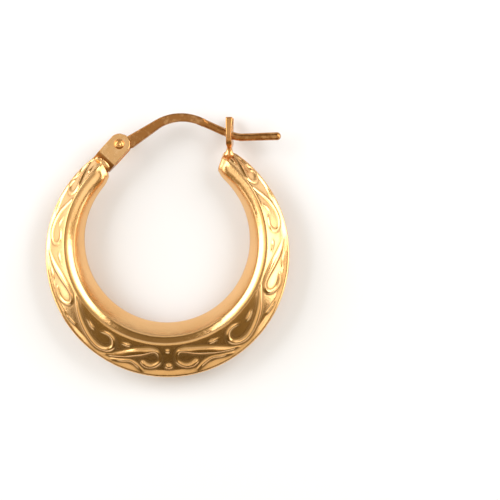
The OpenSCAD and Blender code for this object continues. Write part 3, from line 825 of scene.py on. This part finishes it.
def drop_of_solder(name, spot, sizes, turn, wave):
    """A wavy ball, squashed. Its spot is along the bracket, to the left and up; turn is in degrees."""
    work = bmesh.new()
    bmesh.ops.create_icosphere(work, subdivisions=4, radius=1.0)
    piece = add_work(name, work)
    co = points_of(piece)
    x, y, z = (co * RIPPLES).T
    ripple = 1 + wave * np.sin(x + RIPPLE_START) * np.cos(y) * np.cos(z)
    axes = [(*way(bracket_way + turn), 0), (*way(bracket_way + turn + 90), 0), (0, 0, 1)]
    centre = (*(seat + spot[0] * along + spot[1] * left), spot[2])
    return put_points(piece, framed(co * ripple[:, None] * np.array(sizes) @ np.array(axes) + centre))


solder = joined("bracket_solder", [drop_of_solder(name, *rest) for name, rest in SOLDER_DROPS.items()])
settle(solder, *ON_HOOP, bracket_gold)

# %% [markdown]
# ## The ear wire
# A drawn wire, flattened and bent. It is swept along its middle line by a Geometry Nodes tree: every point
# of the path carries its height, thickness and squareness, and the tree bends a ring into that section,
# so that a flat bar runs smoothly into a round wire.

# %% Path of the wire
WIRE_D, WIRE_RISE, WIRE_FALL = 0.75, 33.0, 24.0
BAR_DROP, ARCH_R, BEND_R, BEND_PAST = 0.36, 4.6, 3.0, 0.75
TAIL_RISE, TAIL_LEN = 1.7, 4.35
CATCH_BACK, WIRE_OVER_END = 0.5, 1.82
BAR_H_HINGE, BAR_H_ARCH, BAR_H_END, BAR_PAST = 1.25, 0.9, 0.8, 0.3
catch_corner = place(1.0, rim_r(1.0), 0.0)[:2]
notch = catch_corner + np.array([CATCH_BACK, WIRE_OVER_END])
wire_foot = PIVOT + BAR_DROP * way(WIRE_RISE - 90)
rising, falling, tail_way = way(WIRE_RISE), way(-WIRE_FALL), way(TAIL_RISE)


def crossed(a, b):
    return a[0] * b[1] - a[1] * b[0]


arch_corner = wire_foot + rising * crossed(notch - wire_foot, falling) / crossed(rising, falling)
arch_cut = ARCH_R * math.tan(math.radians(WIRE_RISE + WIRE_FALL) / 2)
arch_start, arch_end = arch_corner - arch_cut * rising, arch_corner + arch_cut * falling
arch_centre = arch_start + ARCH_R * way(WIRE_RISE - 90)
bend_corner = notch + BEND_PAST * falling
bend_cut = BEND_R * math.tan(math.radians(WIRE_FALL + TAIL_RISE) / 2)
bend_start, bend_end = bend_corner - bend_cut * falling, bend_corner + bend_cut * tail_way
bend_centre = bend_start + BEND_R * way(90 - WIRE_FALL)
tail_tip = bend_corner + TAIL_LEN * tail_way

# %% Stops along the path
# Every stop is a point, a direction, and the section's height, thickness and squareness. The bar starts
# inside the eye, at the distances and heights of IN_EYE, and has its full height at FULL.
SQUARE, SOFTER, ROUND = 7.0, 3.0, 2.0
IN_EYE, FULL = [(0.42, 0.95), (0.60, 1.12)], 0.9
END_THIN, NARROW_SWELL, NARROW_WIDER, TAIL_SWELL = 0.96, 0.02, 0.08, 0.03
NARROW_FROM, NARROW_TO, AFTER_BEND = 0.1, 0.45, 0.1
TIP_RINGS, TIP_ANGLE = 8, 88
BAR_STEPS, ARCH_STEPS, NARROW_STEPS, ROUND_STEPS, BEND_STEPS, TAIL_STEPS = 30, 36, 5, 14, 16, 26
path = []


def add_stop(point, angle, tall, thick, square):
    path.append((point, angle, tall, thick, square))


def add_straight(a, b, angle, first, last, steps):
    for i in range(steps):
        t = i / steps
        add_stop(mix(a, b, t), angle, *mix(np.array(first), np.array(last), t))


def add_bend(centre, radius, side, start, end, first, last, steps):
    """Stops round a bend. From its centre they lie side degrees off the wire's own direction."""
    for i in range(steps + 1):
        a = mix(start, end, i / steps)
        add_stop(centre + radius * way(a + side), a, *mix(np.array(first), np.array(last), i / steps))


hinge_row = (BAR_H_HINGE, BAR_T, SQUARE)
arch_row = (BAR_H_ARCH, BAR_T, SQUARE)
end_row = (BAR_H_END, BAR_T * END_THIN, SQUARE)
narrow_row = (WIRE_D + NARROW_SWELL, WIRE_D + NARROW_WIDER, SOFTER)
round_row = (WIRE_D, WIRE_D, ROUND)
tail_row = (WIRE_D + TAIL_SWELL, WIRE_D + TAIL_SWELL, ROUND)
for distance, tall in IN_EYE:
    add_stop(wire_foot + distance * rising, WIRE_RISE, tall, BAR_T, SQUARE)
add_straight(wire_foot + FULL * rising, arch_start, WIRE_RISE, hinge_row, arch_row, BAR_STEPS)
add_bend(arch_centre, ARCH_R, 90, WIRE_RISE, -WIRE_FALL, arch_row, end_row, ARCH_STEPS)
flat_stop = arch_end + BAR_PAST * falling
add_stop(flat_stop, -WIRE_FALL, *end_row)
narrow_start, narrow_end = flat_stop + NARROW_FROM * falling, flat_stop + NARROW_TO * falling
add_straight(narrow_start, narrow_end, -WIRE_FALL, narrow_row, round_row, NARROW_STEPS)
add_straight(narrow_end, bend_start, -WIRE_FALL, round_row, round_row, ROUND_STEPS)
add_bend(bend_centre, BEND_R, -90, -WIRE_FALL, TAIL_RISE, round_row, round_row, BEND_STEPS)

# %% The round tip of the tail
tip_r = WIRE_D / 2
tail_stop = tail_tip - tip_r * tail_way
add_straight(bend_end + AFTER_BEND * tail_way, tail_stop, TAIL_RISE, round_row, tail_row, TAIL_STEPS)
for i in range(TIP_RINGS + 1):
    ahead, aside = way(90 - i / TIP_RINGS * TIP_ANGLE)
    size = (WIRE_D + TAIL_SWELL) * aside
    add_stop(tail_stop + tip_r * ahead * tail_way, TAIL_RISE, size, size, ROUND)
print("wire path", len(path), "stops, tip", tail_tip.round(2))

# %% The wire's middle line as a chain of points with attributes
spots = framed([(*p[0], 0.0) for p in path])
wire = add_mesh("ear_wire_bar", spots, [], edges=[(i, i + 1) for i in range(len(path) - 1)])
for label, column, unit in (("tall", 2, MM), ("thick", 3, MM), ("square", 4, 1.0)):
    keep(wire, label, [float(p[column]) * unit for p in path])
keep(wire, "up", [(*way(p[1] + 90), 0.0) for p in path])
keep(wire, "middle", spots)

# %% The tree that sweeps it
TINY = 1e-6
tree, n, given = new_tree("swept wire", {
    "Ring points": "Int", "Hammering": "Float", "Hammer size": "Float", "Material": "Material"})


def bent(n, wave, power):
    """wave, a cosine or sine, with its size raised to the power and its sign kept."""
    size = n.math("POWER", n.math("MAXIMUM", n.math("ABSOLUTE", wave), TINY), power)
    return n.math("MULTIPLY", size, n.math("SIGN", wave))


curve = n.add("GeometryNodeMeshToCurve", {"Mesh": given["Geometry"]})
ring = n.add("GeometryNodeCurvePrimitiveCircle", {"Resolution": given["Ring points"], "Radius": 1.0 * MM})
turn = n.math("MULTIPLY", n.node("GeometryNodeSplineParameter").outputs["Factor"], 2 * math.pi)
ring = n.add("GeometryNodeStoreNamedAttribute", {"Geometry": ring, "Name": "turn", "Value": turn},
             data_type="FLOAT", domain="POINT")
swept = n.add("GeometryNodeCurveToMesh", {"Curve": curve, "Profile Curve": ring, "Fill Caps": True})
power = n.math("DIVIDE", 2.0, named(n, "square"))
upwards, across = (
    n.math("MULTIPLY", bent(n, n.math(wave, named(n, "turn")), power),
           n.math("MULTIPLY", named(n, size), 0.5))
    for wave, size in (("COSINE", "tall"), ("SINE", "thick")))
side_way = n.add("ShaderNodeCombineXYZ", {"Z": across})
risen = n.vector("ADD", named(n, "middle", "FLOAT_VECTOR"),
                 n.scaled(named(n, "up", "FLOAT_VECTOR"), upwards))
spot = n.vector("ADD", risen, side_way)
swept = n.add("GeometryNodeSetPosition", {"Geometry": swept, "Position": spot})
knock = soft_waves(n, given["Hammer size"], given["Hammering"])
close_tree(n, moved_out(n, swept, knock), given["Material"])
grown(wire, tree, {"Ring points": 48, "Hammering": 0.02 * MM, "Hammer size": 1.3 * MM,
                   "Material": wire_gold})
settle(sharp_by_angle(outwards(wire), degrees=50), *ON_WIRE)

# %% [markdown]
# ## The eye and the rivet
# Both are turned shapes: a profile of radius and height goes once round the pivot. The rivet's heads are
# low domes with the small dimple that the closing punch leaves.

# %% Turned shapes
def turned(name, centre, profile, steps=48):
    """A closed profile of (radius, height), turned about the upright line through centre."""
    points = []
    for i in range(steps):
        c = way(360 * i / steps)
        points += [(centre[0] + r * c[0], centre[1] + r * c[1], z) for r, z in profile]
    return outwards(add_mesh(name, framed(points), tube_faces(steps, len(profile), round_again=True)))


# %% The eye of the wire
EYE_D, RIVET_D, PIVOT_PLAY, EYE_EASE = 1.8, 0.7, 0.04, 0.05
eye_r, bore_r, half_t = EYE_D / 2, RIVET_D / 2 + PIVOT_PLAY, BAR_T / 2
eye = turned("ear_wire_eye", PIVOT, [
    (bore_r, -half_t), (eye_r - EYE_EASE, -half_t), (eye_r, EYE_EASE - half_t), (eye_r, half_t - EYE_EASE),
    (eye_r - EYE_EASE, half_t), (bore_r, half_t)])
settle(sharp_by_angle(eye), *ON_WIRE, wire_gold)

# %% The rivet
RIVET_HEAD_D, RIVET_HEAD_H, HEAD_SINK, DIMPLE_R, DIMPLE_H = 1.0, 0.26, 0.02, 0.32, 0.11
DOME_POWER, DOME_STEPS = 2.6, 11
head_r = RIVET_HEAD_D / 2
dome = []
for i in range(DOME_STEPS + 1):
    r = mix(head_r, 0.0, i / DOME_STEPS)
    height = RIVET_HEAD_H * (1 - (r / head_r) ** DOME_POWER)
    height -= DIMPLE_H * float(smooth(1 - r / DIMPLE_R))
    dome.append((r, top_z + height))
under_z = top_z - HEAD_SINK
front_half = [(RIVET_D / 2, under_z), (head_r, under_z)] + dome
profile = front_half + [(r, -z) for r, z in reversed(front_half)]
rivet = turned("hinge_rivet_heads", PIVOT, profile)
settle(rivet, "hoop", "hinge_rivet", "rivet_gold", rivet_gold)

# %% [markdown]
# ## The catch
# A small plate stands across the wire: a rounded U whose two prongs lean a little outwards and end in
# soft points. Its foot is a narrow neck let into the hoop's end. It is drawn upright, with its height
# along x and its width along y, and then laid into the hoop's plane.

# %% Outline of the forked plate
CATCH_T, CATCH_W, UNDER_NOTCH = 0.55, 3.16, 0.9
PRONG_H, PRONG_TIP, NOTCH_PLAY, NECK_W, NECK_ROOT = 1.66, 0.34, 0.08, 1.0, 0.6
PRONG_LEAN, PRONG_BULGE, CATCH_EASE = 0.05, 0.10, 0.11
NECK_GAP, NECK_FLARE, NECK_UNDER, NECK_IN = 0.12, 0.06, 0.05, 0.02
SHOULDER_ANGLE, PRONG_ANGLE, SHOULDER_STEPS, PRONG_STEPS, NOTCH_STEPS = 207, 60, 16, 8, 10
notch_r = WIRE_D / 2 + NOTCH_PLAY
notch_bottom = (notch[1] - WIRE_D / 2 / math.cos(math.radians(WIRE_FALL))
                - CATCH_T / 2 * math.tan(math.radians(WIRE_FALL)) - NOTCH_PLAY)
plate_bottom = notch_bottom - UNDER_NOTCH
prong_top = notch[1] + PRONG_H
w, neck_w = CATCH_W / 2, NECK_W / 2
neck_end = catch_corner[1] - NECK_ROOT
outer = [(neck_end, -neck_w), (catch_corner[1] - NECK_UNDER, NECK_IN - neck_w),
         (plate_bottom + NECK_GAP, -neck_w - NECK_FLARE)]
outer += arc((plate_bottom + w, 0), w, SHOULDER_ANGLE, 270, SHOULDER_STEPS)
prong_r = PRONG_TIP / 2
outer += arc((prong_top - prong_r, -w + prong_r), prong_r, -90, PRONG_ANGLE, PRONG_STEPS)
inner_start = (notch_bottom + notch_r, -notch_r)
inner = [(mix(prong_top - prong_r, inner_start[0], t),
          mix(-w + 2 * prong_r, inner_start[1], t) + PRONG_BULGE * math.sin(math.pi * t))
         for t in (0.25, 0.5, 0.75)]
inner += arc((notch_bottom + notch_r, 0), notch_r, 270, 180, NOTCH_STEPS)
half = outer + inner
outline = half + [(x, -y) for x, y in reversed(half[:-1])]

# %% The plate, thin at its neck and thick at its tips
catch = plate("catch_fork", outline, -CATCH_T / 2, CATCH_T / 2, CATCH_EASE, segments=4)
# Heights on the plate, with the share of its thickness there.
CATCH_ROWS = [(neck_end, 0.35), (catch_corner[1] + 0.15, 0.40), (plate_bottom + 0.5, 1.08),
              (notch_bottom + 0.5, 0.90), (prong_top - 0.7, 1.05), (prong_top, 1.25)]
co = points_of(catch)
risen = np.clip((co[:, 0] - notch_bottom) / (prong_top - notch_bottom), 0, 1)
co[:, 2] *= np.interp(co[:, 0], *zip(*CATCH_ROWS))
co[:, 2] += PRONG_LEAN * risen ** 2 * np.sign(co[:, 1])
put_points(catch, co)
moved(catch, [(0, 1, 0), (0, 0, 1), (1, 0, 0)], (notch[0], 0, 0))
settle(sharp_by_angle(catch, degrees=40), *ON_HOOP, catch_gold)

# %% [markdown]
# The solder under the catch runs out in a curved flare on both sides, so it is a short loft whose rings
# shrink quickly at first and then slowly.

# %% The flare of solder
FLARE_FOOT, FLARE_NECK, FLARE_H, FLARE_SINK = (0.66, 0.40), (0.25, 0.46), 0.85, 0.28
FLARE_POWER, FLARE_SHIFT, FLARE_RINGS, RING_POINTS = 2.8, 0.06, 13, 32
points = []
for i in range(FLARE_RINGS):
    t = i / (FLARE_RINGS - 1)
    half_x, half_z = (mix(neck, foot, (1 - t) ** FLARE_POWER) for neck, foot in zip(FLARE_NECK, FLARE_FOOT))
    height = catch_corner[1] - FLARE_SINK + t * (FLARE_H + FLARE_SINK)
    middle_x = notch[0] - FLARE_SHIFT * (1 - t)
    for j in range(RING_POINTS):
        c = way(360 * j / RING_POINTS)
        points.append((middle_x + half_x * c[0], height, half_z * c[1]))
flare = add_mesh("catch_solder", framed(points), tube_faces(FLARE_RINGS, RING_POINTS, capped=True))
settle(outwards(flare), *ON_HOOP, bracket_gold)

# %% [markdown]
# ## The vent hole
# A hollow stamped hoop needs a hole to let the air out when it is soldered. It is in the back half's inner
# wall, where it doesn't show from the front: a fine ring round a flat disc of painted shade, which stands
# for the dark inside of the hole.

# %% The hole's place on the inner wall
VENT_D, VENT_ANGLE = 0.5, 107.0
u_vent = VENT_ANGLE / float(end_angle(1.0))
vent_z = -half_depth(u_vent) / 2
edge = np.array([bevel_r(u_vent), -half_depth(u_vent) * (1 - 2 * BEVEL_DROP / DEPTH_LOW)])
ridge = np.array([ridge_r(u_vent), 0.0])
wall_r = mix(ridge[0], edge[0], vent_z / edge[1])
slope = (edge - ridge) / np.linalg.norm(edge - ridge)
radial, spin = np.array([*way(VENT_ANGLE - 90), 0]), np.array([*way(VENT_ANGLE), 0])
normal = radial * slope[1] + np.array([0, 0, -slope[0]])
centre = radial * wall_r + np.array([0, 0, vent_z]) + normal * LIP_LIFT
side_way = np.cross(normal, spin)

# %% Ring and a disc of painted shade
VENT_POINTS = 32
RING_ROWS = [(1.1, -0.2), (1.1, 0.0), (1.04, 0.02), (1.0, 0.015), (0.98, -0.01)]
DISC_ROWS = [(0.97, -0.15), (0.97, 0.008), (0.9, 0.012)]


def disc(name, rows):
    """A low turned shape on the wall: shares of the hole's radius, and heights in millimetres."""
    points = []
    for share, h in rows:
        for i in range(VENT_POINTS):
            c = way(360 * i / VENT_POINTS)
            points.append(centre + h * normal + share * VENT_D / 2 * (c[0] * spin + c[1] * side_way))
    return outwards(add_mesh(name, framed(points), tube_faces(len(rows), VENT_POINTS, capped=True)))


settle(disc("vent_ring", RING_ROWS), *ON_HOOP, bracket_gold)
settle(disc("vent_hole", DISC_ROWS), *ON_HOOP, vent_painted_shade)

# %% [markdown]
# ## Floor, light and camera
# The hoop lies on a pale floor. Broad soft lights on both sides, behind and above give the bright bands of
# the polished gold, and three weaker ones in front, one of them warm, give the pale band on the upper half
# of the bevel. The dim room between them gives the brown bands. The camera looks down along the hoop's
# axis, a few degrees from the right, as in the photo.

# %% Floor
FLOOR_HALF, FLOOR_Z = 0.5, -2e-5
FLOOR_COLOUR, FLOOR_ROUGH = (0.875, 0.905, 0.965, 1), 0.6
corners = [(x * FLOOR_HALF, y * FLOOR_HALF, FLOOR_Z) for x, y in ((-1, -1), (1, -1), (1, 1), (-1, 1))]
floor = add_mesh("floor", corners, [(0, 1, 2, 3)])
paper, n, shader = new_material("pale_floor")
n.feed(shader, {"Base Color": FLOOR_COLOUR, "Roughness": FLOOR_ROUGH})
floor.data.materials.append(paper)
floor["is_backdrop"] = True

# %% The dim room
ROOM_ROWS = [(0.45, 0.20), (0.52, 0.14), (0.69, 0.27), (0.84, 0.36), (0.92, 0.50), (1.00, 1.50)]
ROOM_TINT_LOW, ROOM_TINT_HIGH, TINT_POWER = (1.0, 0.70, 0.21), (1.0, 0.97, 0.93), 1.6
SIDES_BRIGHTER, ROOM_STRENGTH = 0.9, 0.55
world = bpy.data.worlds.new("room")
bpy.context.scene.world = world
world.use_nodes = True
n = Nodes(world.node_tree)
seen = n.node("ShaderNodeSeparateXYZ", {0: n.node("ShaderNodeTexCoord").outputs["Generated"]}).outputs
ramp = n.node("ShaderNodeValToRGB", {"Fac": n.math("MULTIPLY_ADD", seen[2], 0.5, 0.5)})
for k, (position, level) in enumerate(ROOM_ROWS):
    element = ramp.color_ramp.elements[k] if k < 2 else ramp.color_ramp.elements.new(position)
    element.position = position
    tint = mix(np.array(ROOM_TINT_LOW), np.array(ROOM_TINT_HIGH), min(1.0, level) ** TINT_POWER)
    element.color = (*(level * tint), 1)
sideways = n.math("MULTIPLY_ADD", n.math("MULTIPLY", seen[0], seen[0]), SIDES_BRIGHTER, ROOM_STRENGTH)
n.feed(world.node_tree.nodes["Background"], {0: ramp.outputs[0], 1: sideways})


# %% Soft lights
def softbox(name, place_mm, aim_up_mm, width_mm, height_mm, watts, colour=(1, 1, 1)):
    """A rectangle of light that looks at a point above the frame's origin."""
    light = bpy.data.lights.new(name, "AREA")
    light.shape = "RECTANGLE"
    light.size = width_mm * MM
    light.size_y = height_mm * MM
    light.energy = watts
    light.color = colour
    thing = bpy.data.objects.new(name, light)
    thing.location = Vector(place_mm) * MM
    looks = Vector((0, 0, aim_up_mm)) - Vector(place_mm)
    thing.rotation_euler = looks.to_track_quat("-Z", "Y").to_euler()
    thing.visible_camera = False
    bpy.context.scene.collection.objects.link(thing)


# Place, height of the aim, width and height in mm, and watts.
softbox("upper_left_light", (-150, 60, 120), 0, 160, 130, 0.28)
softbox("upper_right_light", (140, 80, 130), 0, 140, 120, 0.22)
softbox("left_light", (-150, 0, 30), 4, 150, 56, 0.056)
softbox("right_light", (150, 0, 30), 4, 150, 56, 0.080)
softbox("front_light", (0, -130, 150), 2, 300, 90, 0.052, colour=(1, 0.93, 0.80))
softbox("front_left_light", (-135, -60, 150), 0, 110, 80, 0.024)
softbox("front_right_light", (135, -60, 150), 0, 110, 80, 0.024)
softbox("back_light", (0, 160, 34), 4, 300, 46, 0.030)

# %% Camera
PX_PER_MM = 10.2
PHOTO_SIZE = 500
HOOP_AT_PX = (166.8, 255.0)
CAMERA_DISTANCE, CAMERA_YAW, SENSOR = 300.0, 4.0, 36.0
NEAREST, FARTHEST = 0.01, 3.0
aim = np.array([(PHOTO_SIZE / 2 - HOOP_AT_PX[0]) / PX_PER_MM,
                (HOOP_AT_PX[1] - PHOTO_SIZE / 2) / PX_PER_MM, 0])
across, up = way(90 - CAMERA_YAW)
towards = np.array([across, 0, up])
camera = bpy.data.objects.new("camera", bpy.data.cameras.new("camera"))
camera.data.sensor_width = SENSOR
camera.data.lens = SENSOR * CAMERA_DISTANCE * PX_PER_MM / PHOTO_SIZE
camera.data.clip_start, camera.data.clip_end = NEAREST, FARTHEST
camera.location = Vector(framed(aim + CAMERA_DISTANCE * towards))
camera.rotation_euler = (0, math.radians(CAMERA_YAW), 0)
bpy.context.scene.collection.objects.link(camera)
bpy.context.scene.camera = camera
bpy.context.scene.view_settings.view_transform = "Standard"
print("camera", [round(c * 1000, 1) for c in camera.location], "mm, lens %.0f mm" % camera.data.lens)

# %% Size of the dressed part beside the CAD's
made_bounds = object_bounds()
for low_or_high, a, b in zip(("low", "high"), cad_bounds, made_bounds):
    print(low_or_high, "off by mm", [round((q - p) * 1000, 3) for p, q in zip(a, b)])
